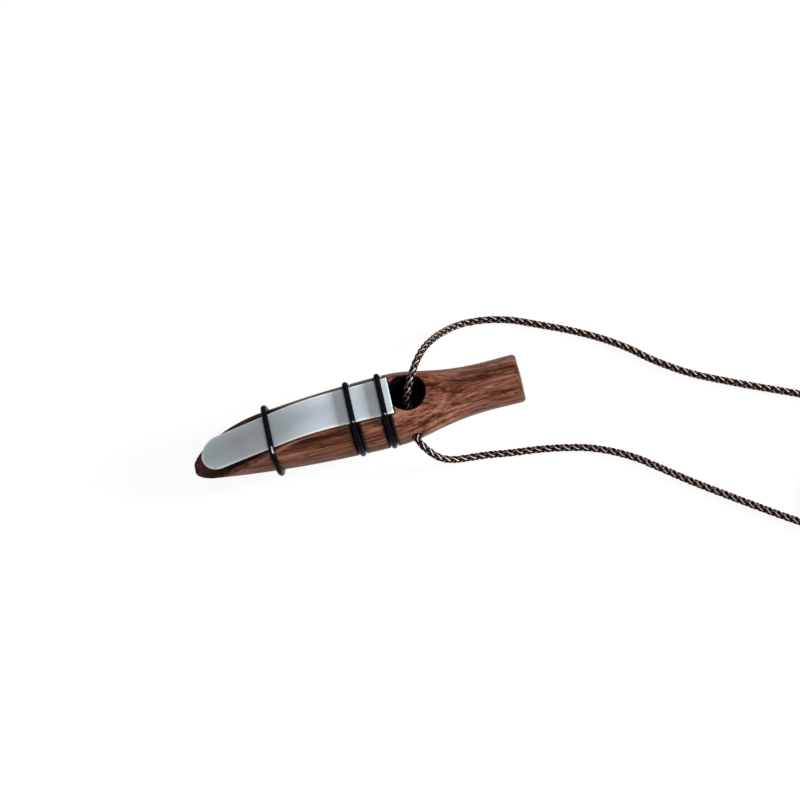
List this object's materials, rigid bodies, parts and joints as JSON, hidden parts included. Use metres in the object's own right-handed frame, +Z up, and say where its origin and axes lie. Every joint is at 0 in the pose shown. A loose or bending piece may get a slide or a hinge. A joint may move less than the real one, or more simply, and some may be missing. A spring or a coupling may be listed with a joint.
{
  "type": "roe deer call",
  "caption": "Open-reed game call: turned wooden body with a curved tone board, a plastic reed under rubber rings, a tone hole and a braided neck cord.",
  "frame": {"origin": "under the middle of the body, on the surface the call lies on", "axes": "+X along the body to the horn end, +Z up with the reed on top, -Y to the side with the cord hole"},
  "size_m": [0.2019, 0.1012, 0.021],
  "materials": {
    "wood": "satin, oiled",
    "reed": "milky, smooth",
    "rubber": "smooth, glossy",
    "cord": "braided, with light flecks",
    "tie": "flat woven tape"
  },
  "bodies": {
    "call": {"call_body": "wood", "reed_clamped": "reed", "front_clamp_ring": "rubber", "rear_clamp_ring": "rubber", "cord_upper_run": "cord", "cord_lower_run": "cord", "cord_coil": "cord", "cord_knot": "cord", "coil_tie": "tie"},
    "tuning_ring": {"tuning_ring": "rubber"},
    "reed_tongue": {"reed_tongue": "reed"}
  },
  "joints": [
    {"name": "tuning_ring_slide", "type": "slide", "parent": "call", "child": "tuning_ring", "axis": [-0.9949, 0, 0.1011], "range_m": [0, 0.01]},
    {"name": "reed_bend", "type": "hinge", "parent": "call", "child": "reed_tongue", "pos_m": [-0.0236, 0, 0.01599], "axis": [0, -1, 0], "range_deg": [-2, 6], "stiffness_Nm_per_rad": 0.02}
  ]
}
